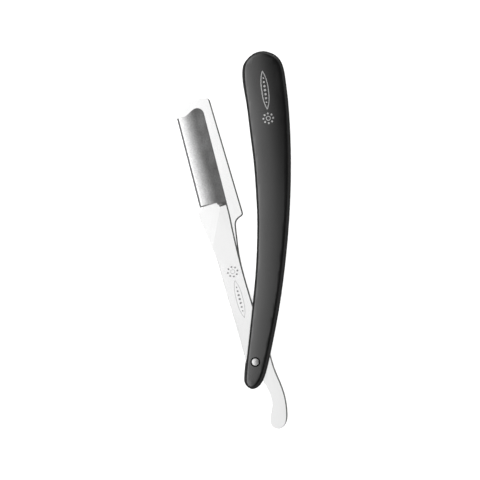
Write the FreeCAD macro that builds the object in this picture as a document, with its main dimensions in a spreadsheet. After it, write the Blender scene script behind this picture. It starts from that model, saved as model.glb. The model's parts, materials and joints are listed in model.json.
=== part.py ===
"""Barber's straight razor with a replaceable blade, standing open by a few degrees.

Millimetres. The razor lies on its back scale: +Z points up out of the front scale, +Y runs from
the pivot rivet towards the far end of the handle, and the cutting side faces +X. The origin is on
the rivet's axis, in the plane that the back scale rests on.

The two steel leaves are drawn with the spine fold of the front leaf along +Y. Their Placement then
turns them about the rivet by arm_turn.
"""
import FreeCAD
import Part
import math
import os

V = FreeCAD.Vector
UP = V(0, 0, 1)

# name: (value, what it is). Lengths are millimetres and angles are degrees.
SIZES = {
    "scale_thick": (2.7, "thickness of each handle scale"),
    "slot_gap": (4.8, "space between the two scales"),
    "round_convex": (2.3, "edge rounding along the convex side of a scale"),
    "round_concave": (1.0, "edge rounding along the concave side of a scale"),
    "back_proud": (0.4, "how far the back scale's bulging ends stand out past the front one's"),
    "scale_hole": (1.23, "radius of the rivet hole in a scale"),
    "recess_rad": (2.1, "radius of the recess round a rivet head"),
    "recess_front": (0.75, "depth of the front recess"),
    "recess_back": (1.0, "depth of the back recess"),
    "boss_rad": (4.0, "radius of the moulded boss round the rivet hole inside a scale"),
    "washer_rad": (3.6, "radius of a friction washer"),
    "washer_thick": (0.25, "thickness of a friction washer"),
    "washer_play": (0.05, "gap on each side of a friction washer"),
    "rivet_rad": (1.2, "radius of the rivet's shank"),
    "head_rad": (1.5, "radius of the front rivet head"),
    "head_rise": (0.58, "height of the front rivet head"),
    "head_rim": (0.48, "height of the straight rim under the front head's low dome"),
    "burr_rad": (1.95, "radius of the washer under the back rivet head"),
    "burr_thick": (0.4, "thickness of the washer under the back rivet head"),
    "tail_head_rad": (1.6, "radius of the formed back rivet head"),
    "tail_head_rise": (0.5, "height of the formed back rivet head"),
    "tail_head_rim": (0.2, "height of the straight rim under the back head's dome"),
    "arm_turn": (14.42, "how far the arm's spine leans from the handle's +Y"),
    "arm_clear": (0.35, "space between the arm and each scale"),
    "leaf_hole": (1.26, "radius of the rivet hole in a leaf"),
    "leaf_gap": (0.1, "space between the two leaves"),
    "lip_thick": (0.55, "thickness of the lip folded behind the back leaf"),
    "lip_width": (3.4, "width of that lip"),
    "back_leaf_thick": (1.0, "thickness of the back leaf"),
    "front_leaf_thick": (0.65, "thickness of the front leaf"),
    "clamp_gap": (0.35, "space under the cover's free edge, where a blade is held"),
    "cover_slope": (12.5, "angle of the cover's slope down to its free edge"),
    "cover_flat": (1.7, "width of the flat strip along the cover's spine"),
    "cover_bend": (8.0, "where the cover's long bend ends, from the spine"),
    "cover_width": (11.82, "width of the cover"),
    "fold_round": (1.15, "outer radius of the spine fold"),
    "sleeve_end": (70.5, "radius about the rivet of the sleeve's lower end"),
    "end_round": (0.62, "edge rounding of the sleeve's lower end"),
    "leaf_edge": (0.6, "edge rounding on the leaves' cutting side"),
    "leaf_burr": (0.06, "edge rounding elsewhere on the leaves"),
    "stud_rad": (0.8, "radius of a blade stud"),
    "stud_rise": (0.25, "height of a blade stud above the back leaf"),
    "stud_inset": (9.1, "distance of the studs from the back leaf's cutting side"),
    "spacer_inset": (0.35, "how far the spacer's side lies inside the scales' outline"),
    "spacer_hollow": (50.0, "radius of the spacer's hollow lower side"),
    "peg_rad": (1.1, "radius of the spacer's joining pegs"),
    "peg_rise": (1.5, "depth of a peg's hole in a scale"),
    "peg_end_play": (0.05, "space past a peg's end in its hole"),
}

doc = FreeCAD.newDocument("straight_razor")
sheet = doc.addObject("Spreadsheet::Sheet", "Sizes")
for row, (alias, (value, meaning)) in enumerate(SIZES.items(), 1):
    sheet.set(f"A{row}", alias)
    sheet.set(f"B{row}", str(value))
    sheet.set(f"C{row}", meaning)
    sheet.setAlias(f"B{row}", alias)
doc.recompute()


def size(alias):
    """The value of one cell of the sheet."""
    return float(sheet.get(alias))


def bind(obj, **expressions):
    """Bind properties to the sheet; a double underscore in a name stands for a dot."""
    for prop, expression in expressions.items():
        obj.setExpression(prop.replace("__", "."), expression)


# ---- levels above the resting plane, as expressions on the sheet
SLOT_FLOOR = "Sizes.scale_thick"
SLOT_ROOF = "(Sizes.scale_thick + Sizes.slot_gap)"
BACK_LEAF = "(Sizes.scale_thick + Sizes.arm_clear + Sizes.lip_thick + Sizes.leaf_gap)"
FRONT_LEAF = f"({BACK_LEAF} + Sizes.back_leaf_thick + Sizes.leaf_gap)"
WASHER_STEP = "(Sizes.washer_thick + Sizes.washer_play)"
BACK_WASHER = f"({BACK_LEAF} - {WASHER_STEP})"
FRONT_WASHER = f"({FRONT_LEAF} + Sizes.front_leaf_thick + Sizes.washer_play)"

slot_floor = size("scale_thick")
slot_roof = slot_floor + size("slot_gap")
handle_top = slot_roof + size("scale_thick")
lip_floor = slot_floor + size("arm_clear")
back_leaf_floor = lip_floor + size("lip_thick") + size("leaf_gap")
back_leaf_top = back_leaf_floor + size("back_leaf_thick")
front_leaf_floor = back_leaf_top + size("leaf_gap")
front_leaf_top = front_leaf_floor + size("front_leaf_thick")
washer_step = size("washer_thick") + 2 * size("washer_play")

# ---- outlines, seen from above
# Each scale's outline starts at the pivot end's left shoulder and goes up the concave side, round
# the far end, down the convex side and round the pivot end.
CONCAVE_SIDE = [(-4.45, -7.6), (-4.15, -3.0), (-2.85, 9.0), (-1.4, 22.5), (-0.1, 35.4),
                (0.65, 48.3), (0.84, 61.2), (0.25, 74.1), (-0.76, 87.0), (-2.38, 99.9),
                (-4.05, 112.8), (-5.25, 125.0)]
FAR_END = [(-4.7, 128.4), (-2.95, 131.05), (0.3, 133.25), (2.95, 133.85), (6.7, 133.15),
           (10.0, 131.0), (11.85, 127.7)]
CONVEX_SIDE = [(12.95, 122.5), (14.15, 112.8), (15.05, 99.9), (15.4, 87.0), (15.25, 74.1),
               (14.65, 61.2), (13.6, 48.3), (12.15, 35.4), (10.25, 22.5), (7.85, 9.6),
               (5.15, -2.7)]
PIVOT_END = [(2.95, -8.7), (1.15, -10.85), (-1.5, -11.7), (-3.55, -10.45)]
# The back scale stands a little proud of the front one on the left of both rounded ends: not at
# all between these heights, fully BULGE_GROWS further on, and by less near the handle's middle.
BULGE_BELOW = 6.0
BULGE_ABOVE = 114.0
BULGE_GROWS = 9.0
BULGE_FADES = 4.0
PEGS = [(0.8, 127.0), (7.6, 124.5)]
SPACER_START = 119.0        # where the spacer's hollow lower side is highest
SPACER_MIDDLE = 10.0        # and how far right that is
SPACER_WINGS = 8.0          # how far the spacer runs on below that, along both sides of the slot

# Cutting tools reach well past the piece that they cut.
FAR_OUT = 60.0
CUT_FLOOR = -5.0
CUT_HEIGHT = 30.0

# The leaves, with the front leaf's spine fold along +Y.
SPINE = -6.62
NOSE = [(-5.4, 111.0), (-4.6, 113.35), (-2.7, 114.75), (1.6, 115.8), (4.75, 115.85),
        (7.7, 115.45)]
NOSE_CORNER = [(7.7, 115.45), (8.63, 114.95), (9.08, 114.0)]
HEEL = (10.86, 63.95)
HEEL_HOLLOW = [HEEL, (10.6, 62.8), (9.65, 62.15), (8.2, 61.5), (7.05, 60.4), (6.5, 58.7),
               (6.1, 55.8), (5.3, 50.0), (4.75, 43.0), (4.75, 34.0), (5.15, 25.0), (6.35, 12.0),
               (7.1, 4.0), (7.2, 0.0), (7.45, -5.3), (8.3, -11.0), (8.85, -17.0), (8.65, -21.0),
               (8.05, -24.7), (7.1, -27.8)]
TAIL_TIP = [(7.1, -27.8), (4.85, -30.25), (2.7, -30.7), (0.4, -29.1)]
TAIL_INSIDE = [(0.4, -29.1), (-0.1, -26.9), (0.45, -24.9), (1.75, -22.4), (2.7, -19.3),
               (2.8, -15.8), (1.95, -11.0), (0.6, -8.0), (-2.2, -5.4), (-3.5, -1.5), (-4.0, 6.0),
               (-4.6, 30.0), (-5.2, 48.5)]
SHOULDER = [(-5.2, 48.5), (-5.6, 51.3), (-8.15, 67.6), (-6.1, 69.55)]
SHOULDER_ROUND = 1.5
SPINE_EDGE = [(-6.1, 69.55), (-5.4, 69.55), (-5.4, 111.0)]

COVER_TOP = [(-3.3, 109.95), (-2.2, 110.3), (-0.4, 111.3), (1.2, 112.05), (2.4, 112.3)]
COVER_CORNER = [(2.4, 112.3), (4.25, 111.5), (5.2, 109.5)]
NECK_TOP = 70.3
NECK_FLAT = 68.4            # below this the neck is as flat as the shank
NECK_FOOT = 64.0
FRONT_RIGHT = [(5.2, NECK_FOOT), (4.84, 56.0), (4.64, 47.8), (4.66, 38.0), (5.0, 27.0),
               (5.5, 14.0), (5.4, 2.0)]
FRONT_END = [(5.4, 2.0), (3.2, -3.7), (0.0, -4.9), (-2.9, -3.2), (-3.9, 4.0)]
FRONT_LEFT = [(-3.9, 4.0), (-4.55, 30.0), (-5.15, 48.5)]
RELIEF_CORNER = [(-0.7, 70.5), (1.35, 69.6), (1.7, 67.8)]
CREASE_FOOT = (-5.7, 52.2)
STUD_HEIGHTS = [78.0, 91.0, 104.0]


def points(pairs, level=0.0):
    return [V(x, y, level) for x, y in pairs]


def curve(pairs, first_way=None):
    """One smooth spline through the points, leaving the first one in a given direction if any."""
    spline = Part.BSplineCurve()
    spline.interpolate(points(pairs))
    if first_way is not None:
        ways = [first_way] * len(pairs)
        used = [True] + [False] * (len(pairs) - 1)
        spline.interpolate(Points=points(pairs), Tangents=ways, TangentFlags=used)
    return spline


def round_corner(before, corner, after, radius):
    """Two straight runs with a tangent arc of the given radius between them."""
    start, tip, end = points([before, corner, after])
    back = (start - tip).normalize()
    on = (end - tip).normalize()
    half = back.getAngle(on) / 2
    bisector = (back + on).normalize()
    centre = tip + bisector * (radius / math.sin(half))
    leave = tip + back * (radius / math.tan(half))
    join = tip + on * (radius / math.tan(half))
    return [Part.LineSegment(start, leave), Part.Arc(leave, centre - bisector * radius, join),
            Part.LineSegment(join, end)]


def lines(pairs):
    return [Part.LineSegment(a, b) for a, b in zip(points(pairs), points(pairs)[1:])]


def arc(pairs):
    return Part.Arc(*points(pairs))


def split_curve(first_way, *runs):
    """One smooth spline through several runs of points, as one edge for each run."""
    pairs = list(runs[0]) + [pair for run in runs[1:] for pair in run[1:]]
    spline = curve(pairs, first_way)
    stops = [spline.FirstParameter]
    stops += [spline.parameter(points([run[-1]])[0]) for run in runs[:-1]]
    stops += [spline.LastParameter]
    return [spline.toShape(a, b) for a, b in zip(stops, stops[1:])]


def to_edges(pieces):
    return [piece if isinstance(piece, Part.Shape) else piece.toShape() for piece in pieces]


def solid(pieces, floor, height):
    """An upright plate with the outline that the pieces make."""
    wire = Part.Wire(Part.__sortEdges__(to_edges(pieces)))
    plate = Part.Face(wire).extrude(UP * height)
    plate.translate(UP * floor)
    return plate


def rounded_rim(label, base, outline, level, radii):
    """Round a plate's rim at one level, with the start and end radius of each outline edge.

    An outline edge whose radii are None stays sharp.
    """
    rims = []
    for number, edge in enumerate(base.Shape.Edges, 1):
        ends = edge.Vertexes
        if len(ends) == 2 and all(abs(vertex.Z - level) < 1e-6 for vertex in ends):
            middle = edge.valueAt((edge.FirstParameter + edge.LastParameter) / 2)
            probe = Part.Vertex(middle.x, middle.y, 0)
            nearest = min(range(len(outline)), key=lambda i: outline[i].distToShape(probe)[0])
            if radii[nearest] is not None:
                rims.append((number,) + radii[nearest])
    rounded = doc.addObject("Part::Fillet", label)
    rounded.Base = base
    rounded.Edges = rims
    return rounded


def feature(label, shape):
    """A shape made with Part's own functions, as an object of the document."""
    obj = doc.addObject("Part::Feature", label)
    obj.Shape = shape
    obj.Label = label
    return obj


def boolean(kind, label, base, tool):
    obj = doc.addObject(kind, label)
    obj.Base = base
    obj.Tool = tool
    obj.Label = label
    return obj


def cylinder(label, radius, height, level="0", at=(0.0, 0.0)):
    """An upright cylinder with sizes bound to the sheet."""
    obj = doc.addObject("Part::Cylinder", label)
    obj.Placement.Base = V(at[0], at[1], 0)
    bind(obj, Radius=radius, Height=height, Placement__Base__z=level)
    return obj


def fuse(label, shapes):
    obj = doc.addObject("Part::MultiFuse", label)
    obj.Shapes = shapes
    obj.Label = label
    return obj


# ---- handle
def scale_blank(label, floor_level, outer_level, proud):
    """One flat scale with its outer edges rounded more on the convex side than on the concave."""
    def shifted(pair):
        x, y = pair
        lengthwise = max(BULGE_BELOW - y, y - BULGE_ABOVE) / BULGE_GROWS
        sideways = -x / BULGE_FADES
        share = max(0.0, min(1.0, lengthwise)) * max(0.0, min(1.0, sideways))
        return x - proud * share, y

    runs = [CONCAVE_SIDE, FAR_END, CONVEX_SIDE, PIVOT_END]
    outline = [shifted(pair) for run in runs for pair in run]
    corners = [shifted(run[0]) for run in (CONCAVE_SIDE, CONVEX_SIDE, PIVOT_END)]
    corners.insert(1, shifted(CONCAVE_SIDE[-1]))
    loop = Part.BSplineCurve()
    loop.interpolate(Points=points(outline), PeriodicFlag=True)
    stops = [loop.parameter(corner) for corner in points(corners)[1:]]
    stops = [loop.FirstParameter] + stops + [loop.LastParameter]
    edges = [loop.toShape(a, b) for a, b in zip(stops, stops[1:])]
    plate = Part.Face(Part.Wire(edges)).extrude(UP * size("scale_thick"))
    plate.translate(UP * floor_level)
    blank = feature(label + "_blank", plate)

    small = size("round_concave")
    large = size("round_convex")
    radii = [(small, small), (small, large), (large, large), (large, small)]
    return rounded_rim(label + "_rounded", blank, edges, outer_level, radii)


def scale(label, floor_level, outer_level, proud, boss, boss_level, recess, recess_level, peg_level):
    """A scale with its inner boss, its rivet hole, its outer recess and its blind peg holes."""
    rounded = scale_blank(label, floor_level, outer_level, proud)
    with_boss = fuse(label + "_bossed", [rounded, cylinder(label + "_boss", "Sizes.boss_rad", boss,
                                                           boss_level)])
    hole = cylinder(label + "_hole", "Sizes.scale_hole", "3 * Sizes.slot_gap",
                    "-Sizes.slot_gap / 2")
    pocket = cylinder(label + "_recess", "Sizes.recess_rad", recess, recess_level)
    pegs = [cylinder(f"{label}_peg_hole_{number}", "Sizes.peg_rad", "Sizes.peg_rise", peg_level, at)
            for number, at in enumerate(PEGS, 1)]
    tools = fuse(label + "_tools", [hole, pocket] + pegs)
    return boolean("Part::Cut", label, with_boss, tools)


back_scale = scale("back_scale", 0.0, 0.0, size("back_proud"),
                   f"{BACK_WASHER} - Sizes.washer_play - Sizes.scale_thick / 2",
                   "Sizes.scale_thick / 2", "Sizes.recess_back", "0",
                   f"{SLOT_FLOOR} - Sizes.peg_rise")
front_scale = scale("front_scale", slot_roof, handle_top, 0.0,
                    f"{SLOT_ROOF} + Sizes.scale_thick / 2 - {FRONT_WASHER} - {WASHER_STEP}",
                    f"{FRONT_WASHER} + {WASHER_STEP}",
                    "Sizes.recess_front", f"{SLOT_ROOF} + Sizes.scale_thick - Sizes.recess_front",
                    SLOT_ROOF)


def make_spacer():
    """The wedge that joins the scales at the far end, a little inside their outline."""
    runs = CONCAVE_SIDE + FAR_END + CONVEX_SIDE + PIVOT_END
    loop = Part.BSplineCurve()
    loop.interpolate(Points=points(runs), PeriodicFlag=True)
    inner = []
    for point in points(runs):
        along, = loop.tangent(loop.parameter(point))
        inner.append(point + V(along.y, -along.x, 0) * size("spacer_inset"))
    inner_loop = Part.BSplineCurve()
    inner_loop.interpolate(Points=inner, PeriodicFlag=True)
    outline = Part.Wire(inner_loop.toShape())
    plate = Part.Face(outline).extrude(UP * size("slot_gap"))
    plate.translate(UP * slot_floor)
    hollow_rad = size("spacer_hollow")
    middle = V(SPACER_MIDDLE, SPACER_START - hollow_rad, CUT_FLOOR)
    hollow = Part.makeCylinder(hollow_rad, CUT_HEIGHT, middle)
    wings_end = SPACER_START - SPACER_WINGS
    below = Part.makeBox(2 * FAR_OUT, wings_end + FAR_OUT, CUT_HEIGHT, V(-FAR_OUT, -FAR_OUT, CUT_FLOOR))
    return feature("spacer_block", plate.cut(hollow).cut(below))


spacer_block = make_spacer()
peg_length = "Sizes.slot_gap + 2 * (Sizes.peg_rise - Sizes.peg_end_play)"
peg_level = "Sizes.scale_thick - Sizes.peg_rise + Sizes.peg_end_play"
pegs = [cylinder(f"spacer_peg_{number}", "Sizes.peg_rad", peg_length, peg_level, at)
        for number, at in enumerate(PEGS, 1)]
end_spacer = fuse("end_spacer", [spacer_block] + pegs)


# ---- pivot
def washer(label, outer, inner, thick, level):
    ring = cylinder(label + "_disc", outer, thick, level)
    bore = cylinder(label + "_bore", inner, f"3 * {thick}", f"{level} - {thick}")
    return boolean("Part::Cut", label, ring, bore)


back_washer = washer("back_friction_washer", "Sizes.washer_rad", "Sizes.leaf_hole",
                     "Sizes.washer_thick", BACK_WASHER)
front_washer = washer("front_friction_washer", "Sizes.washer_rad", "Sizes.leaf_hole",
                      "Sizes.washer_thick", FRONT_WASHER)
burr_washer = washer("rivet_washer", "Sizes.burr_rad", "Sizes.scale_hole", "Sizes.burr_thick",
                     "Sizes.recess_back - Sizes.burr_thick")


def dome(radius, rim, apex):
    """Half of a spherical cap's section, from its apex on the axis to its rim, as three points."""
    rise = apex - rim
    ball = (radius ** 2 + rise ** 2) / (2 * rise)
    half = math.asin(radius / abs(ball)) / 2
    middle = V(abs(ball) * math.sin(half), apex - ball * (1 - math.cos(half)), 0)
    return V(0, apex, 0), middle, V(radius, rim, 0)


def rivet_profile():
    """Half of the rivet's section: a formed back head, the shank and a low domed front head."""
    shank = size("rivet_rad")
    back_top = size("recess_back") - size("burr_thick")
    back_rad = size("tail_head_rad")
    front_low = handle_top - size("recess_front")
    front_rad = size("head_rad")
    back_dome = dome(back_rad, back_top - size("tail_head_rim"), back_top - size("tail_head_rise"))
    front_dome = dome(front_rad, front_low + size("head_rim"), front_low + size("head_rise"))
    corners = [back_dome[2], V(back_rad, back_top, 0), V(shank, back_top, 0),
               V(shank, front_low, 0), V(front_rad, front_low, 0), front_dome[2]]
    sides = [Part.LineSegment(a, b) for a, b in zip(corners, corners[1:])]
    return [Part.Arc(*back_dome), *sides, Part.Arc(*reversed(front_dome)),
            Part.LineSegment(front_dome[0], back_dome[0])]


def origin_plane(body, role):
    return [plane for plane in body.Origin.OriginFeatures if plane.Role == role][0]


rivet_body = doc.addObject("PartDesign::Body", "pivot_rivet")
rivet_sketch = rivet_body.newObject("Sketcher::SketchObject", "rivet_section")
rivet_sketch.AttachmentSupport = (origin_plane(rivet_body, "XZ_Plane"), [""])
rivet_sketch.MapMode = "FlatFace"
for piece in rivet_profile():
    rivet_sketch.addGeometry(piece, False)
rivet_turn = rivet_body.newObject("PartDesign::Revolution", "rivet_turn")
rivet_turn.Profile = rivet_sketch
rivet_turn.ReferenceAxis = (rivet_sketch, ["V_Axis"])
rivet_turn.Angle = 360
rivet_body.Label = "pivot_rivet"


# ---- arm: back leaf
def turn_with_arm(obj):
    """Turn a leaf, drawn along +Y, about the rivet to where the arm stands."""
    obj.Placement = FreeCAD.Placement(V(0, 0, 0), FreeCAD.Rotation(UP, 0))
    bind(obj, Placement__Rotation__Angle="Sizes.arm_turn")


def cutting_side(height):
    """Where the back leaf's straight cutting side lies at a height along the arm."""
    top = NOSE_CORNER[-1]
    share = (height - HEEL[1]) / (top[1] - HEEL[1])
    return HEEL[0] + share * (top[0] - HEEL[0])


# each run of the back leaf's outline, with the rounding of its upper edge at both ends
burr = size("leaf_burr")
eased = size("leaf_edge")
BACK_RUNS = [([curve(NOSE)], (burr, burr)), ([arc(NOSE_CORNER)], (burr, eased)),
             (lines([NOSE_CORNER[-1], HEEL]), (eased, eased))]
side_start, side_end = points([NOSE_CORNER[-1], HEEL])
side_way = (side_end - side_start).normalize()
hollow, tip, inside = split_curve(side_way, HEEL_HOLLOW, TAIL_TIP, TAIL_INSIDE)
BACK_RUNS += [([hollow], (eased, eased)), ([tip], (eased, burr)), ([inside], (burr, burr)),
              (lines(SHOULDER[:2]), (burr, burr)),
              (round_corner(*SHOULDER[1:], SHOULDER_ROUND), (burr, burr)),
              (lines(SPINE_EDGE), (burr, burr))]
back_edges = []
back_radii = []
for pieces, radii in BACK_RUNS:
    back_edges += to_edges(pieces)
    back_radii += [radii] * len(pieces)
back_plate = feature("back_leaf_plate",
                     solid(back_edges, back_leaf_floor, size("back_leaf_thick")))
back_rounded = rounded_rim("back_leaf_rounded", back_plate, back_edges, back_leaf_top, back_radii)
back_bore = cylinder("back_leaf_bore", "Sizes.leaf_hole", "4 * Sizes.slot_gap")
back_leaf = boolean("Part::Cut", "back_leaf", back_rounded, back_bore)
turn_with_arm(back_leaf)

# three studs in one node, riveted into the back leaf
stud_shapes = []
for number, height in enumerate(STUD_HEIGHTS, 1):
    at = (cutting_side(height) - size("stud_inset"), height)
    stud_shapes.append(cylinder(f"stud_{number}", "Sizes.stud_rad", "Sizes.stud_rise",
                                f"{BACK_LEAF} + Sizes.back_leaf_thick", at))
blade_studs = doc.addObject("Part::Compound", "blade_studs")
blade_studs.Links = stud_shapes
blade_studs.Label = "blade_studs"
turn_with_arm(blade_studs)


# ---- arm: front leaf
thick = size("front_leaf_thick")
slope = math.radians(size("cover_slope"))
free_edge = SPINE + size("cover_width")
free_edge_top = back_leaf_top + size("clamp_gap") + thick / math.cos(slope)


def turned(centre, radius, *degrees):
    """Points on a circle in the section's plane; 0 degrees is towards the cutting side."""
    angles = [math.radians(angle) for angle in degrees]
    return [centre + V(math.cos(angle), math.sin(angle), 0) * radius for angle in angles]


def free_corner(slant, level):
    """The rounded upper corner of a sloping strip that would end in a point at level."""
    rad = size("leaf_edge")
    low = free_edge - rad
    centre_level = level + rad * math.tan(slant) - rad / math.cos(slant)
    steep = 90 - math.degrees(slant)
    return turned(V(low, centre_level, 0), rad, steep, steep / 2, 0)


def cover_section():
    """The sleeve's section across the spine: lip, spine fold, flat strip, bend and slope."""
    lip = size("lip_thick")
    fold = size("fold_round")
    inner = fold - lip
    bend_start = SPINE + size("cover_flat")
    bend_end = SPINE + size("cover_bend")
    bend_rad = (bend_end - bend_start) / math.sin(slope)
    bend_drop = bend_rad * (1 - math.cos(slope))
    top = free_edge_top + (free_edge - bend_end) * math.tan(slope) + bend_drop
    steep = 90 - size("cover_slope")
    hub = V(bend_start, top - bend_rad, 0)
    outer_bend = turned(hub, bend_rad, 90, (90 + steep) / 2, steep)
    inner_bend = turned(hub, bend_rad - thick, 90, (90 + steep) / 2, steep)
    edge_corner = free_corner(slope, free_edge_top)
    tip_low = V(free_edge, inner_bend[2].y - (free_edge - inner_bend[2].x) * math.tan(slope), 0)
    fold_x = SPINE + fold
    upper = turned(V(fold_x, top - fold, 0), fold, 180, 135, 90)
    lower = turned(V(fold_x, lip_floor + fold, 0), fold, 180, 225, 270)
    upper_in = turned(V(fold_x, top - thick - inner, 0), inner, 180, 135, 90)
    lower_in = turned(V(fold_x, lip_floor + fold, 0), inner, 180, 225, 270)
    lip_end = SPINE + size("lip_width")
    lip_tip = [V(lip_end, lip_floor, 0), V(lip_end, lip_floor + lip, 0)]
    segment = Part.LineSegment
    return [segment(upper[2], outer_bend[0]), Part.Arc(*outer_bend),
            segment(outer_bend[2], edge_corner[0]), Part.Arc(*edge_corner),
            segment(edge_corner[2], tip_low), segment(tip_low, inner_bend[2]),
            Part.Arc(*inner_bend), segment(inner_bend[0], upper_in[2]), Part.Arc(*upper_in),
            segment(upper_in[0], lower_in[0]), Part.Arc(*lower_in),
            segment(lower_in[2], lip_tip[1]), segment(lip_tip[1], lip_tip[0]),
            segment(lip_tip[0], lower[2]), Part.Arc(*lower),
            segment(lower[0], upper[0]), Part.Arc(*upper)], top


section, cover_top = cover_section()
sleeve_body = doc.addObject("PartDesign::Body", "sleeve_bar")
sleeve_sketch = sleeve_body.newObject("Sketcher::SketchObject", "sleeve_section")
sleeve_sketch.AttachmentSupport = (origin_plane(sleeve_body, "XZ_Plane"), [""])
sleeve_sketch.MapMode = "FlatFace"
for piece in section:
    sleeve_sketch.addGeometry(piece, False)
sleeve_pad = sleeve_body.newObject("PartDesign::Pad", "sleeve_pad")
sleeve_pad.Profile = sleeve_sketch
sleeve_pad.Length = 2 * FAR_OUT
sleeve_pad.Reversed = True
doc.recompute()

PAST_LEFT = SPINE - 3.0
PAST_RIGHT = free_edge + 3.0
cover_outline = [*lines([COVER_CORNER[2], (PAST_RIGHT, COVER_CORNER[2][1]), (PAST_RIGHT, NECK_TOP),
                         (PAST_LEFT, NECK_TOP), (PAST_LEFT, COVER_TOP[0][1]), COVER_TOP[0]]),
                 curve(COVER_TOP), arc(COVER_CORNER)]
plan_feature = feature("cover_plan", solid(cover_outline, CUT_FLOOR, CUT_HEIGHT))
cover = boolean("Part::Common", "cover", sleeve_body, plan_feature)


def neck_section(share):
    """The strip between cover and shank: sloped at share 0, flat at share 1."""
    smooth = share * share * (3 - 2 * share)
    slant = math.atan(math.tan(slope) * (1 - smooth))
    height = NECK_TOP + share * (NECK_FLAT - NECK_TOP)
    left = SPINE + NECK_LEFT
    level = free_edge_top + smooth * (front_leaf_top - free_edge_top)
    drop = thick / math.cos(slope) + smooth * (thick - thick / math.cos(slope))
    rise = (free_edge - left) * math.tan(slant)
    corner = [V(point.x, height, point.y) for point in free_corner(slant, level)]
    low = [V(free_edge, height, level - drop), V(left, height, level + rise - drop)]
    top_left = V(left, height, level + rise)
    pieces = [Part.Arc(*corner), Part.LineSegment(corner[2], low[0]), Part.LineSegment(*low),
              Part.LineSegment(low[1], top_left), Part.LineSegment(top_left, corner[0])]
    return Part.Wire(to_edges(pieces))


NECK_LEFT = 6.0         # distance of the neck's left side from the spine, inside the relief cut
NECK_STEPS = 5
neck_sections = [neck_section(i / (NECK_STEPS - 1)) for i in range(NECK_STEPS)]
neck = feature("neck", Part.makeLoft(neck_sections, True, False))
neck_strip = Part.Face(neck_sections[-1]).extrude(V(0, NECK_FOOT - NECK_FLAT, 0))
flat_neck = feature("flat_neck", neck_strip)
crease_side = [(SPINE, NECK_FOOT - 8.0), (SPINE + NECK_LEFT, NECK_FOOT)]
shank_runs = split_curve(None, FRONT_RIGHT, FRONT_END, FRONT_LEFT)
shank_edges = shank_runs + to_edges(lines([FRONT_LEFT[-1], *crease_side, FRONT_RIGHT[0]]))
shank_radii = [(eased, eased), (eased, burr), (burr, burr)] + [None] * 3
shank_plate = feature("shank_plate", solid(shank_edges, front_leaf_floor, thick))
shank = rounded_rim("shank", shank_plate, shank_edges, front_leaf_top, shank_radii)
front_fused = fuse("front_leaf_fused", [cover, neck, flat_neck, shank])


RING_TURN = 60.0        # how far the ring that rounds the sleeve's lower end reaches, in degrees


def on_sleeve_end(x):
    """The point of the sleeve's lower end at x: the end is a circle about the rivet."""
    return x, math.sqrt(size("sleeve_end") ** 2 - x * x)


def end_rounding():
    """A ring about the rivet that rounds off the upper edge of the sleeve's lower end."""
    rad = size("end_round")
    ring = size("sleeve_end")
    inside = ring - 1.0
    above = cover_top + 1.0
    start, middle, end = [V(point.x, 0, point.y)
                          for point in turned(V(ring + rad, cover_top - rad, 0), rad, 180, 135, 90)]
    corners = [end, V(end.x, 0, above), V(inside, 0, above), V(inside, 0, start.z), start]
    sides = [Part.LineSegment(a, b) for a, b in zip(corners, corners[1:])]
    profile = Part.Face(Part.Wire(to_edges([Part.Arc(start, middle, end), *sides])))
    profile.rotate(V(0, 0, 0), UP, 90 - RING_TURN / 2)
    return profile.revolve(V(0, 0, 0), UP, RING_TURN)


crease_run = (RELIEF_CORNER[-1][0] - CREASE_FOOT[0]) / (RELIEF_CORNER[-1][1] - CREASE_FOOT[1])
crease_end = (PAST_LEFT, CREASE_FOOT[1] + (PAST_LEFT - CREASE_FOOT[0]) / crease_run)
end_arc = arc([on_sleeve_end(PAST_LEFT), on_sleeve_end(SPINE), RELIEF_CORNER[0]])
relief = solid([end_arc, arc(RELIEF_CORNER),
                *lines([RELIEF_CORNER[-1], CREASE_FOOT, crease_end, on_sleeve_end(PAST_LEFT)])],
               CUT_FLOOR, CUT_HEIGHT)
bore = Part.makeCylinder(size("leaf_hole"), CUT_HEIGHT)
front_tools = feature("front_leaf_tools", Part.makeCompound([relief, bore]))
front_cut = boolean("Part::Cut", "front_leaf_cut", front_fused, front_tools)
front_leaf = boolean("Part::Cut", "front_leaf", front_cut, feature("end_ring", end_rounding()))
turn_with_arm(front_leaf)

# ---- check and write
doc.recompute()
NODES = [front_scale, back_scale, end_spacer, rivet_body, burr_washer, back_washer, front_washer,
         back_leaf, blade_studs, front_leaf]
for obj in doc.Objects:
    if {"Invalid", "Error"} & set(obj.State):
        raise RuntimeError(f"{obj.Name} failed: {obj.State}")
os.makedirs("parts", exist_ok=True)
for node in NODES:
    if node.Shape.isNull() or not node.Shape.isValid():
        raise RuntimeError(f"{node.Label} has no valid shape")
    node.Shape.exportStep(f"parts/{node.Label}.step")
    box = node.Shape.BoundBox
    print(f"{node.Label:24s} {len(node.Shape.Solids)} solid(s) {node.Shape.Volume:9.2f} mm3 "
          f"x {box.XMin:.2f}..{box.XMax:.2f} y {box.YMin:.2f}..{box.YMax:.2f} "
          f"z {box.ZMin:.2f}..{box.ZMax:.2f}")
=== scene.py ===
"""A barber's folding razor for replaceable half blades, lying open on a white table.

The CAD nodes give every working shape. This script adds what they leave plain: the crowned outer
faces of the moulded scales, the printed and etched ornaments, and every material.
Lengths are in metres unless a name says otherwise.
"""
import json
import math

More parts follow.
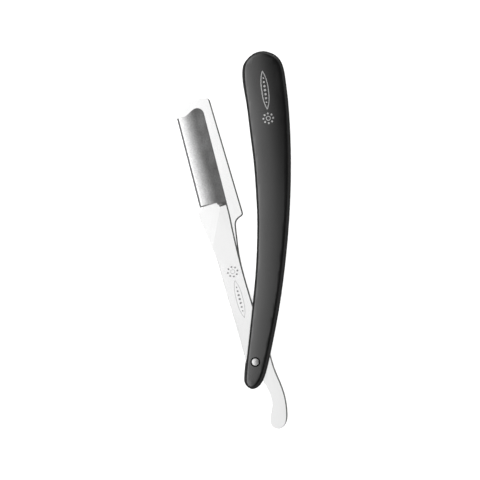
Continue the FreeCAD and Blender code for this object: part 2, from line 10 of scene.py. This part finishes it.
import bmesh
import bpy
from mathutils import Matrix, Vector


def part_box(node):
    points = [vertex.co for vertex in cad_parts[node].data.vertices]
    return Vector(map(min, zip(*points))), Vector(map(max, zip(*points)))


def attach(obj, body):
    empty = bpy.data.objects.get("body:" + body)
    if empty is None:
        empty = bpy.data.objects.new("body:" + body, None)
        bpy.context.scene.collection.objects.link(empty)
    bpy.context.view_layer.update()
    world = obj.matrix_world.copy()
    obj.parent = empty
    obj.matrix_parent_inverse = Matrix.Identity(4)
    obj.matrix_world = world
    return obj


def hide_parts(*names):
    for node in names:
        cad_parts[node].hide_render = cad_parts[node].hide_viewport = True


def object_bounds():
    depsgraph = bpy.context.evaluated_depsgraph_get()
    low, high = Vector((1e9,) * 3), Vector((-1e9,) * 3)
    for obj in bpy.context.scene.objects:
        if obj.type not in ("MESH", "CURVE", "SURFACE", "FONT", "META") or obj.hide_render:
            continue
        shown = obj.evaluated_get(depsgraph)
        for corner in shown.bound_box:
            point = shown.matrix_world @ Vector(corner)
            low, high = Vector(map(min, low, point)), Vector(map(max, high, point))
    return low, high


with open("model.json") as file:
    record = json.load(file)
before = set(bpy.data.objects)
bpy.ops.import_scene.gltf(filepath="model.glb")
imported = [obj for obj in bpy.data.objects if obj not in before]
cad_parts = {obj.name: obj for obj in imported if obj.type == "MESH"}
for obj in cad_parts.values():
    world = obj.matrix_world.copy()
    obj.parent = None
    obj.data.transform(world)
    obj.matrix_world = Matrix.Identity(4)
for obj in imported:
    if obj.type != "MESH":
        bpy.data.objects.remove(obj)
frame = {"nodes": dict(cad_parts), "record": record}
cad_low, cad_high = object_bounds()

MM = 0.001
NODES = frame["nodes"]
SCENE = bpy.context.scene
ARM_TURN = math.radians(14.42)           # the arm leans this far to the left of the handle's axis


def add_object(name, data, place=(0, 0, 0)):
    """Puts a new object that shows data into the scene."""
    thing = bpy.data.objects.new(name, data)
    thing.location = place
    SCENE.collection.objects.link(thing)
    return thing


def held(share):
    """The share, kept from 0 to 1."""
    return min(max(share, 0.0), 1.0)


# ---------------------------------------------------------------- camera

VIEW_DISTANCE = 1.147                    # from the handle's face to the lens
VIEW_WIDTH = 206.4 * MM                  # the width seen at that distance
VIEW_SHIFT = Vector((2.6, 0.1, 0)) * MM  # the view's centre, from the middle of the razor
FILM_WIDTH = 36.0                        # in the camera's own millimetres
NEAREST_SEEN = 0.05
FARTHEST_SEEN = 20.0


def add_camera():
    """A long lens straight above the razor, with the handle's long axis up the picture."""
    middle = (cad_low + cad_high) / 2 + VIEW_SHIFT
    data = bpy.data.cameras.new("camera")
    data.sensor_width = FILM_WIDTH
    data.lens = FILM_WIDTH * VIEW_DISTANCE / VIEW_WIDTH
    data.clip_start = NEAREST_SEEN
    data.clip_end = FARTHEST_SEEN
    SCENE.camera = add_object("camera", data, (middle.x, middle.y, cad_high.z + VIEW_DISTANCE))
    return middle


# ---------------------------------------------------------------- node helpers

NOISE_SPAN = (0.3, 0.7)                  # where most of a noise's values lie
LINE_SPAN = (0.64, 0.8)                  # the few high values that draw separate fine lines
STRAY_LINE_SPAN = (0.70, 0.85)           # the same, for fewer lines


class Nodes:
    """A short way to write the node tree of one material, or of the world."""

    def __init__(self, owner, output="ShaderNodeOutputMaterial", place="Object"):
        self.owner = owner
        owner.use_nodes = True
        self.tree = owner.node_tree
        self.tree.nodes.clear()
        self.output = self.add(output)
        self.place = self.add("ShaderNodeTexCoord").outputs[place]

    def add(self, kind, **settings):
        node = self.tree.nodes.new(kind)
        for name, value in settings.items():
            setattr(node, name, value)
        return node

    def feed(self, socket, value):
        """Links an output to a socket, or sets the socket to a plain value."""
        if isinstance(value, bpy.types.NodeSocket):
            self.tree.links.new(value, socket)
        else:
            socket.default_value = value

    def axes(self):
        """The place's X, Y and Z."""
        split = self.add("ShaderNodeSeparateXYZ")
        self.feed(split.inputs[0], self.place)
        return split.outputs

    def distance_from_pivot(self):
        """How far a place is from the pivot's axis, which is the frame's Z axis."""
        level = self.add("ShaderNodeVectorMath", operation="MULTIPLY")
        self.feed(level.inputs[0], self.place)
        level.inputs[1].default_value = (1, 1, 0)
        length = self.add("ShaderNodeVectorMath", operation="LENGTH")
        self.feed(length.inputs[0], level.outputs[0])
        return length.outputs["Value"]

    def math(self, operation, first, second):
        node = self.add("ShaderNodeMath", operation=operation)
        self.feed(node.inputs[0], first)
        self.feed(node.inputs[1], second)
        return node.outputs[0]

    def stretched(self, scale, turn):
        """The object's coordinates in metres, turned about Z and multiplied along each axis."""
        turned = self.add("ShaderNodeMapping", vector_type="POINT")
        self.feed(turned.inputs["Vector"], self.place)
        turned.inputs["Rotation"].default_value = (0, 0, turn)
        scaled = self.add("ShaderNodeMapping", vector_type="POINT")
        self.feed(scaled.inputs["Vector"], turned.outputs[0])
        scaled.inputs["Scale"].default_value = scale
        return scaled.outputs[0]

    def noise(self, scale, detail=2.0, turn=0.0, roughness=0.5):
        """Noise from 0 to 1; scale is the number of blotches in a metre, for all axes or for each."""
        node = self.add("ShaderNodeTexNoise", noise_dimensions="3D")
        along_axes = scale if isinstance(scale, tuple) else (scale, scale, scale)
        self.feed(node.inputs["Vector"], self.stretched(along_axes, turn))
        node.inputs["Scale"].default_value = 1.0
        node.inputs["Detail"].default_value = detail
        node.inputs["Roughness"].default_value = roughness
        return node.outputs[0]

    def spread(self, value, low, high, new_low, new_high, smooth=False):
        """Maps low..high to new_low..new_high and holds the ends."""
        node = self.add("ShaderNodeMapRange", clamp=True)
        node.interpolation_type = "SMOOTHSTEP" if smooth else "LINEAR"
        ends = {"Value": value, "From Min": low, "From Max": high, "To Min": new_low, "To Max": new_high}
        for name, end in ends.items():
            self.feed(node.inputs[name], end)
        return node.outputs[0]

    def vary(self, noise, low, high):
        """A number that wanders from low to high as the noise does."""
        return self.spread(noise, *NOISE_SPAN, low, high)

    def blend(self, share, first, second, kind="RGBA"):
        """A colour between two others, or a number where kind is FLOAT."""
        node = self.add("ShaderNodeMix", data_type=kind)
        for name, value in {"Factor": share, "A": first, "B": second}.items():
            self.feed(node.inputs[name], value)
        return node.outputs["Result"]

    def greys(self, share, dark, light):
        return self.blend(share, grey(dark), grey(light))

    def bump(self, height, depth, under=None):
        """A bump whose height runs from 0 to 1 over depth, in metres, on top of the bump under it."""
        node = self.add("ShaderNodeBump")
        node.inputs["Strength"].default_value = 1.0
        node.inputs["Distance"].default_value = depth
        self.feed(node.inputs["Height"], height)
        if under is not None:
            self.feed(node.inputs["Normal"], under)
        return node.outputs[0]

    def surface(self, kind="ShaderNodeBsdfPrincipled", **inputs):
        """Ends the tree in a shader with these inputs, and returns the material or the world."""
        shader = self.add(kind)
        for name, value in inputs.items():
            self.feed(shader.inputs[name.replace("_", " ")], value)
        self.tree.links.new(shader.outputs[0], self.output.inputs["Surface"])
        return self.owner


def material_nodes(name):
    return Nodes(bpy.data.materials.new(name))


def grey(level):
    return (level, level, level, 1.0)


# ---------------------------------------------------------------- studio

LIGHT_HEIGHT = 1.6
PANEL_LEFT = -32.0                       # where the panel ends on each side, in degrees from straight up
PANEL_RIGHT = 12.0
PANEL_REACH = 30.0                       # the same towards and away from the handle's far end
PANEL_GLOW = 1.15                        # brightness straight above
PANEL_EVEN = 2.0                         # how far from straight up, in degrees, it keeps that brightness
PANEL_FADE = 0.15                        # how fast it then falls to the right and rises to the left
PANEL_PEAK = 3.0                         # the brightest it gets, well to the left
PANEL_HEM = 0.02                         # width of the soft border
FLOOR_SIZE = 8.0
FLOOR_GREY = 0.88
FLOOR_ROUGHNESS = 0.9
FLOOR_LAMP_WATTS = 80
FLOOR_LAMP_SIZE = 3.0
FLOOR_LAMP_HEIGHT = LIGHT_HEIGHT + 0.2   # just over the panel


def add_sheet(name, corners, place):
    """A flat four-sided piece of the studio, whose corners are given from its own place."""
    mesh = bpy.data.meshes.new(name)
    mesh.from_pydata([(x, y, 0) for x, y in corners], [], [(0, 1, 2, 3)])
    return add_object(name, mesh, place)


def add_panel(middle):
    """A broad reflector above the razor, brighter on the left, that every glossy face mirrors."""
    left, right, reach = (math.tan(math.radians(angle)) * LIGHT_HEIGHT
                          for angle in (PANEL_LEFT, PANEL_RIGHT, PANEL_REACH))
    corners = [(left, -reach), (left, reach), (right, reach), (right, -reach)]
    panel = add_sheet("light_panel", corners, (middle.x, middle.y, LIGHT_HEIGHT))

    nodes = material_nodes("light_panel")
    across = nodes.axes()[0]
    degrees = nodes.math("MULTIPLY", across, math.degrees(1 / LIGHT_HEIGHT))
    right_of_even = nodes.math("MAXIMUM", nodes.math("SUBTRACT", degrees, PANEL_EVEN), 0.0)
    left_of_even = nodes.math("MINIMUM", nodes.math("ADD", degrees, PANEL_EVEN), 0.0)
    glow = nodes.math("POWER", math.exp(-PANEL_FADE), nodes.math("ADD", right_of_even, left_of_even))
    glow = nodes.math("MINIMUM", nodes.math("MULTIPLY", glow, PANEL_GLOW), PANEL_PEAK)
    right_hem = nodes.spread(across, right - PANEL_HEM, right, 1.0, 0.0, smooth=True)
    left_hem = nodes.spread(across, left, left + PANEL_HEM, 0.0, 1.0, smooth=True)
    glow = nodes.math("MULTIPLY", glow, nodes.math("MULTIPLY", right_hem, left_hem))
    panel.data.materials.append(nodes.surface("ShaderNodeEmission", Strength=glow))
    panel.visible_camera = False


def add_table(middle):
    """The white floor that the razor lies on."""
    half = FLOOR_SIZE / 2
    corners = [(-half, -half), (half, -half), (half, half), (-half, half)]
    table = add_sheet("table", corners, (middle.x, middle.y, cad_low.z))
    nodes = material_nodes("table_white")
    table.data.materials.append(
        nodes.surface(Base_Color=grey(FLOOR_GREY), Roughness=FLOOR_ROUGHNESS, Specular_IOR_Level=0.0))
    table.visible_glossy = False
    return table


def add_floor_lamp(middle, table):
    """Soft light from overhead that whitens the table and nothing else, and casts no shadow on it."""
    data = bpy.data.lights.new("floor_lamp", "AREA")
    data.shape = "SQUARE"
    data.size = FLOOR_LAMP_SIZE
    data.energy = FLOOR_LAMP_WATTS
    lamp = add_object("floor_lamp", data, (middle.x, middle.y, FLOOR_LAMP_HEIGHT))
    lit = bpy.data.collections.new("lit_by_floor_lamp")
    lit.objects.link(table)
    lamp.light_linking.receiver_collection = lit
    lamp.light_linking.blocker_collection = lit


# brightness of the studio's walls, by the height of the direction that looks at them: the sine of its
# elevation. Between the walls' top and the panel overhead it stays dark, which draws the steel's edges.
ROOM = 0.03
WALL = 0.42
WALL_TOP = (0.52, 0.70)
BELOW_TABLE = 0.25
HORIZON = (-0.02, 0.02)
BACK_WALL = 0.9                          # a second soft light, low behind the handle's far end
BACK_WALL_SIDE = (0.40, 0.60)
BACK_WALL_TOP = (0.80, 0.92)


def set_world():
    """The walls of the studio, as the razor mirrors them."""
    nodes = Nodes(bpy.data.worlds.new("studio"), "ShaderNodeOutputWorld", "Generated")
    _, towards_far_end, up = nodes.axes()
    wall = nodes.spread(up, *WALL_TOP, WALL, ROOM, smooth=True)
    back_wall = nodes.math("MULTIPLY",
                           nodes.spread(towards_far_end, *BACK_WALL_SIDE, 0.0, 1.0, smooth=True),
                           nodes.spread(up, *BACK_WALL_TOP, BACK_WALL, 0.0, smooth=True))
    above = nodes.math("MAXIMUM", wall, back_wall)
    is_up = nodes.spread(up, *HORIZON, 0.0, 1.0)
    below = nodes.math("MULTIPLY", BELOW_TABLE, nodes.math("SUBTRACT", 1.0, is_up))
    glow = nodes.math("ADD", nodes.math("MULTIPLY", above, is_up), below)
    SCENE.world = nodes.surface("ShaderNodeBackground", Strength=glow)
    SCENE.view_settings.view_transform = "Standard"


# ---------------------------------------------------------------- materials

SINK_DEPTH = 0.10 * MM                   # height of each kind of relief, from the coarsest to the finest
SHEEN_DEPTH = 0.02 * MM
SPACER_DEPTH = 0.01 * MM
BLAST_DEPTH = 0.01 * MM
RIVET_DEPTH = 0.01 * MM
ROLLED_DEPTH = 0.004 * MM
PEEL_DEPTH = 0.0022 * MM
POLISH_DEPTH = 0.0012 * MM
HAIRLINE_DEPTH = 0.001 * MM
HAIRLINE_ROUGHNESS = 0.10
BLASTED_FROM = 68.2 * MM                 # between these distances from the pivot's axis the satin sets in
BLASTED_TO = 70.4 * MM
DARK_BRASS = (0.66, 0.47, 0.19, 1)
LIGHT_BRASS = (0.76, 0.58, 0.28, 1)


def black_plastic():
    """Glossy moulded plastic: faint sink marks, orange peel, and hairlines from use."""
    nodes = material_nodes("black_plastic")
    smudge = nodes.noise((90, 45, 90), detail=3.0)
    hairline = nodes.noise((3200, 60, 3200), turn=math.radians(4))
    crossline = nodes.noise((70, 3600, 3600), detail=1.0, turn=math.radians(-22))
    lines = nodes.math("MAXIMUM", nodes.spread(hairline, *LINE_SPAN, 0, 0.6),
                       nodes.spread(crossline, *STRAY_LINE_SPAN, 0, 0.5))
    roughness = nodes.math("ADD", nodes.spread(smudge, 0.35, 0.7, 0.15, 0.24),
                           nodes.math("MULTIPLY", lines, HAIRLINE_ROUGHNESS))
    sink = nodes.bump(nodes.noise((28, 16, 28), detail=0.0), SINK_DEPTH)
    peel = nodes.bump(nodes.noise(900, detail=1.0), PEEL_DEPTH, sink)
    return nodes.surface(Base_Color=nodes.greys(smudge, 0.007, 0.011), Roughness=roughness,
                         Normal=nodes.bump(lines, HAIRLINE_DEPTH, peel), Specular_IOR_Level=0.8)


def spacer_plastic():
    """The same black plastic with the fine texture of an unpolished mould."""
    nodes = material_nodes("spacer_plastic")
    grain = nodes.noise(3500)
    return nodes.surface(Base_Color=nodes.greys(grain, 0.015, 0.026), Roughness=nodes.vary(grain, 0.42, 0.6),
                         Normal=nodes.bump(grain, SPACER_DEPTH))


def polished(nodes, dull, bright):
    """Roughness, colour and normal of a leaf polished along its length, from dull to bright."""
    grain = nodes.noise((5200, 70, 5200), detail=3.0, turn=-ARM_TURN)
    smear = nodes.noise((70, 30, 70), turn=-ARM_TURN)
    roughness = nodes.math("ADD", nodes.vary(grain, 0.10, 0.17), nodes.spread(smear, 0.4, 0.7, 0.0, 0.05))
    sheen = nodes.bump(nodes.noise((45, 22, 45), detail=0.0), SHEEN_DEPTH)
    return roughness, nodes.greys(smear, dull, bright), nodes.bump(grain, POLISH_DEPTH, sheen)


def leaf_steel():
    """The back leaf and the blade studs, polished all over."""
    nodes = material_nodes("leaf_steel")
    roughness, colour, normal = polished(nodes, 0.73, 0.77)
    return nodes.surface(Metallic=1.0, Base_Color=colour, Roughness=roughness, Normal=normal)


def satin_steel():
    """The front leaf: polished like the back one on its shank but painted a shade darker, blasted satin on
    its cover.
    """
    nodes = material_nodes("satin_steel")
    # painted shade: the shank's steel is a little darker than the back leaf's (0.69-0.73 against 0.73-0.77),
    # standing in for the shading along the crease where the front leaf meets the back leaf
    roughness, colour, normal = polished(nodes, 0.69, 0.73)
    blasted = nodes.spread(nodes.distance_from_pivot(), BLASTED_FROM, BLASTED_TO, 0.0, 1.0, smooth=True)
    sand = nodes.noise(2400, detail=3.0, roughness=0.7)
    cloud = nodes.noise((260, 160, 260))
    speckle = nodes.noise(1900, roughness=0.7)
    satin_roughness = nodes.math("ADD", nodes.vary(sand, 0.30, 0.37), nodes.vary(cloud, -0.03, 0.03))
    satin_colour = nodes.greys(nodes.vary(speckle, 0.0, 1.0), 0.56, 0.80)
    pits = nodes.bump(nodes.math("MULTIPLY", sand, blasted), BLAST_DEPTH, normal)
    return nodes.surface(Metallic=1.0, Base_Color=nodes.blend(blasted, colour, satin_colour),
                         Roughness=nodes.blend(blasted, roughness, satin_roughness, kind="FLOAT"),
                         Normal=pits)


def rivet_steel():
    """The rivet and its washer, with darker streaks across the head."""
    nodes = material_nodes("rivet_steel")
    streak = nodes.noise((6000, 500, 6000), detail=3.0, turn=math.radians(35))
    colour = nodes.greys(nodes.spread(streak, 0.35, 0.65, 0.0, 1.0), 0.28, 0.52)
    return nodes.surface(Metallic=1.0, Base_Color=colour, Roughness=nodes.vary(streak, 0.22, 0.36),
                         Normal=nodes.bump(streak, RIVET_DEPTH))


def washer_brass():
    """The friction washers' sheet, with fine rolling lines along it."""
    nodes = material_nodes("washer_brass")
    rolled = nodes.noise((4000, 120, 4000))
    colour = nodes.blend(rolled, DARK_BRASS, LIGHT_BRASS)
    return nodes.surface(Metallic=1.0, Base_Color=colour, Roughness=nodes.vary(rolled, 0.22, 0.38),
                         Normal=nodes.bump(rolled, ROLLED_DEPTH))


def silver_foil():
    """Hot-stamped foil, a little uneven where the stamp pressed it."""
    nodes = material_nodes("silver_foil")
    wrinkle = nodes.noise(1500, detail=3.0)
    return nodes.surface(Metallic=1.0, Base_Color=nodes.greys(wrinkle, 0.34, 0.58),
                         Roughness=nodes.vary(wrinkle, 0.3, 0.45))


def etched_steel():
    """Steel left dull grey by the etching bath."""
    nodes = material_nodes("etched_steel")
    bite = nodes.noise(2500, detail=3.0)
    return nodes.surface(Metallic=1.0, Base_Color=nodes.greys(bite, 0.26, 0.42),
                         Roughness=nodes.vary(bite, 0.45, 0.6))


MAKERS = (black_plastic, spacer_plastic, leaf_steel, satin_steel, rivet_steel, washer_brass,
          silver_foil, etched_steel)


def dress_nodes():
    """Gives every CAD node the detailed material of its own slot, and returns all the materials."""
    made = {maker.__name__: maker() for maker in MAKERS}
    for item in frame["record"]["subparts"]:
        for slot in NODES[item["node"]].material_slots:
            slot.material = made[item["material_slot"]]
    return made


# ---------------------------------------------------------------- crowned scales

HANDLE_HEIGHTS = (2.0, 62.0, 122.0)      # where the handle's midline is measured, in mm up from the rivet
HEIGHT_BAND = 1.5 * MM                   # vertices this near to such a height are measured with it
CROWN = 13.0                             # curvature of a scale's face across its width, in radians a metre
LEAN_AT_PIVOT = math.radians(-0.5)       # the face's tilt to the right along the midline
LEAN_AT_END = math.radians(2.5)
GRID_ACROSS = 1.0 * MM                   # spacing of the cuts that let the flat CAD face take the crown
GRID_ALONG = 3.0 * MM
SHARP_ANGLE = math.radians(34)           # edges that turn by more than this stay sharp
SCALE_THICK = 2.7 * MM
RECESS_RADIUS = 2.1 * MM
RECESS_DISH = 0.36 * MM
RECESS_FLOOR = (0.2, 0.9)                # the floor lies between these shares of the scale's thickness
SAME_POINT = 0.0005 * MM                 # tolerances of the mesh work
ON_FACE = 0.001 * MM
ON_CUT = 0.0001 * MM
ON_WALL = 0.05 * MM


def handle_midline():
    """Centre and radius of the circle that the middle of the curved handle follows."""
    spots = [vertex.co for vertex in NODES["front_scale"].data.vertices]
    mids = []
    for height in HANDLE_HEIGHTS:
        near = [spot.x for spot in spots if abs(spot.y - height * MM) < HEIGHT_BAND]
        mids.append(Vector(((min(near) + max(near)) / 2, height * MM)))
    first, second, third = mids
    one, two = second - first, third - first
    cross = 2 * (one.x * two.y - one.y * two.x)
    offset = Vector((two.y * one.length_squared - one.y * two.length_squared,
                     one.x * two.length_squared - two.x * one.length_squared)) / cross
    return first + offset, offset.length


MID_CENTRE, MID_RADIUS = handle_midline()


def crown_drop(x, y):
    """How far the crowned face lies under the flat one at a place on the handle."""
    out = (Vector((x, y)) - MID_CENTRE).length - MID_RADIUS
    lean = LEAN_AT_PIVOT + held(y / (HANDLE_HEIGHTS[-1] * MM)) * (LEAN_AT_END - LEAN_AT_PIVOT)
    return CROWN * (out + lean / CROWN) ** 2 / 2


def cut_face(bm, node, face):
    """Cuts a scale's flat outer face, which lies at the height face, into a grid."""

    def outer_faces():
        return [patch for patch in bm.faces if all(abs(v.co.z - face) < ON_FACE for v in patch.verts)]

    flat = set(outer_faces())
    seams = [edge for edge in bm.edges if len(edge.link_faces) == 2 and flat.issuperset(edge.link_faces)]
    bmesh.ops.dissolve_edges(bm, edges=seams, use_verts=False)
    low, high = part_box(node)
    for axis, step in ((0, GRID_ACROSS), (1, GRID_ALONG)):
        normal = Vector((1 - axis, axis, 0))
        for i in range(int((high[axis] - low[axis]) / step) + 1):
            spot = normal * (low[axis] + step * (i + 0.5))
            # each face, edge and corner once, in an order that is the same in every run
            cuttable = dict.fromkeys(item for patch in outer_faces()
                                     for item in (patch, *patch.edges, *patch.verts))
            bmesh.ops.bisect_plane(bm, geom=list(cuttable), dist=ON_CUT, plane_co=spot, plane_no=normal)


def smooth_between_sharp_edges(bm):
    """Shades every face smoothly, up to the edges where the surface turns sharply."""
    bm.normal_update()
    for patch in bm.faces:
        patch.smooth = True
    for edge in bm.edges:
        edge.smooth = len(edge.link_faces) == 2 and edge.calc_face_angle() < SHARP_ANGLE


def crowned_scale(node, face, inner, plastic, dish=0.0):
    """The CAD scale with its flat outer face crowned; face and inner are the heights of its two sides.

    The floor of the rivet's recess falls away by dish towards its wall, which darkens it there.
    """
    bm = bmesh.new()
    bm.from_mesh(NODES[node].data)
    bmesh.ops.remove_doubles(bm, verts=bm.verts, dist=SAME_POINT)
    cut_face(bm, node, face)
    outward = math.copysign(1.0, face - inner)
    for vertex in bm.verts:
        share = held((vertex.co.z - inner) / (face - inner))
        drop = crown_drop(vertex.co.x, vertex.co.y) * share
        by_recess_wall = abs(vertex.co.xy.length - RECESS_RADIUS) < ON_WALL
        if by_recess_wall and RECESS_FLOOR[0] < share < RECESS_FLOOR[1]:
            drop += dish
        vertex.co.z -= outward * drop
    smooth_between_sharp_edges(bm)
    mesh = bpy.data.meshes.new(node + "_crowned")
    bm.to_mesh(mesh)
    bm.free()
    if "custom_normal" in mesh.attributes:      # the CAD mesh's own normals don't fit the new shape
        mesh.attributes.remove(mesh.attributes["custom_normal"])
    mesh.materials.append(plastic)
    piece = add_object(node + "_crowned", mesh)
    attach(piece, "handle")
    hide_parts(node)


# ---------------------------------------------------------------- ornaments

SPINDLE_HALF_LENGTH = 8.3 * MM
SPINDLE_HALF_WIDTH = 1.45 * MM
SPINDLE_FULLNESS = 2.6                   # a higher one keeps the spindle wide for longer
BEADS = 7
BEAD_SPACING = 1.75 * MM
BEAD_RADIUS = 0.52 * MM                  # of the middle bead
BEAD_TAPER = 0.5                         # how much the others shrink towards the tips
PETALS = 8
PETAL_RADIUS = 0.42 * MM
ROSETTE_RADIUS = 2.1 * MM                # of the circle that the petals' centres lie on
ROSETTE_GAP = 3.9 * MM                   # from a spindle's tip to the rosette's centre
HUB_RADIUS = 0.875 * MM                  # of the small ring in the rosette's middle
SPINDLE_SIDES = 96
HUB_SIDES = 40
DISC_SIDES = 20
LIFT = 0.012 * MM                        # how far an ornament stands off its face


def spindle(turn):
    """A point on the outline of a slim form with two pointed ends, once round as turn goes 0 to 1."""
    along = math.cos(2 * math.pi * turn)
    side = math.copysign(1.0, math.sin(2 * math.pi * turn))
    return Vector((SPINDLE_HALF_LENGTH * along,
                   side * SPINDLE_HALF_WIDTH * (1 - abs(along) ** SPINDLE_FULLNESS)))


def ring_points(centre, radius, count):
    """Points spaced evenly round a circle."""
    angles = [2 * math.pi * i / count for i in range(count)]
    return [centre + Vector((math.cos(angle), math.sin(angle))) * radius for angle in angles]


def ribbon(points, width):
    """The inner and outer edge of a closed line of the given width."""
    inner, outer = [], []
    for i, point in enumerate(points):
        along = (points[(i + 1) % len(points)] - points[i - 1]).normalized()
        side = Vector((along.y, -along.x)) * width / 2
        inner.append(point - side)
        outer.append(point + side)
    return inner, outer


def face_up(mesh):
    """Turns every face so that its front looks up."""
    bm = bmesh.new()
    bm.from_mesh(mesh)
    for patch in bm.faces:
        patch.normal_update()
        if patch.normal.z < 0:
            patch.normal_flip()
    bm.to_mesh(mesh)
    bm.free()


def ornament(name, place, stroke, end, body, material):
    """A beaded spindle, and a rosette of dots beyond its upper end, 1, or its lower end, -1.

    place turns a distance along the spindle and one across it into a spot on the object's face.
    """
    spots, faces = [], []

    def add_disc(centre, radius):
        start = len(spots)
        spots.extend(ring_points(centre, radius, DISC_SIDES))
        faces.append(tuple(range(start, start + DISC_SIDES)))

    def add_ribbon(points):
        start, count = len(spots), len(points)
        inner, outer = ribbon(points, stroke)
        spots.extend(inner + outer)
        for i in range(count):
            j = (i + 1) % count
            faces.append((start + i, start + j, start + count + j, start + count + i))

    add_ribbon([spindle((i + 0.5) / SPINDLE_SIDES) for i in range(SPINDLE_SIDES)])
    for i in range(BEADS):
        step = i - (BEADS - 1) / 2
        add_disc(Vector((step * BEAD_SPACING, 0)), BEAD_RADIUS * (1 - BEAD_TAPER * (2 * step / BEADS) ** 2))
    hub = Vector((end * (SPINDLE_HALF_LENGTH + ROSETTE_GAP), 0))
    for centre in ring_points(hub, ROSETTE_RADIUS, PETALS):
        add_disc(centre, PETAL_RADIUS)
    add_ribbon(ring_points(hub, HUB_RADIUS, HUB_SIDES))
    mesh = bpy.data.meshes.new(name)
    mesh.from_pydata([place(spot.x, spot.y) for spot in spots], [], faces)
    face_up(mesh)
    mesh.materials.append(material)
    piece = add_object(name, mesh)
    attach(piece, body)


FOIL_AT = 117.0 * MM                     # height of the handle's spindle above the rivet
FOIL_ASIDE = -0.5 * MM                   # how far its middle lies from the handle's midline
FOIL_STROKE = 0.34 * MM
ETCH_AT = Vector((0.2, 27.8)) * MM       # middle of the shank's spindle, with the arm upright
ETCH_STROKE = 0.16 * MM
SHANK_TOP = 5.45 * MM                    # height of the front leaf's flat shank


def on_handle(along, across):
    """A spot on the front scale's crowned face, measured along the handle's curved midline."""
    angle = math.asin((FOIL_AT - MID_CENTRE.y) / MID_RADIUS) + along / MID_RADIUS
    out = MID_RADIUS + FOIL_ASIDE + across
    x = MID_CENTRE.x + out * math.cos(angle)
    y = MID_CENTRE.y + out * math.sin(angle)
    return x, y, cad_high.z - crown_drop(x, y) + LIFT


def on_shank(along, across):
    """A spot on the front leaf's flat shank."""
    x, y = ETCH_AT.x + across, ETCH_AT.y + along
    cosine, sine = math.cos(ARM_TURN), math.sin(ARM_TURN)
    return x * cosine - y * sine, x * sine + y * cosine, SHANK_TOP + LIFT


middle = add_camera()
add_panel(middle)
add_floor_lamp(middle, add_table(middle))
set_world()
materials = dress_nodes()
plastic = materials["black_plastic"]
crowned_scale("front_scale", cad_high.z, cad_high.z - SCALE_THICK, plastic, RECESS_DISH)
crowned_scale("back_scale", cad_low.z, cad_low.z + SCALE_THICK, plastic)
ornament("handle_ornament", on_handle, FOIL_STROKE, -1, "handle", materials["silver_foil"])
ornament("shank_ornament", on_shank, ETCH_STROKE, 1, "clamp", materials["etched_steel"])
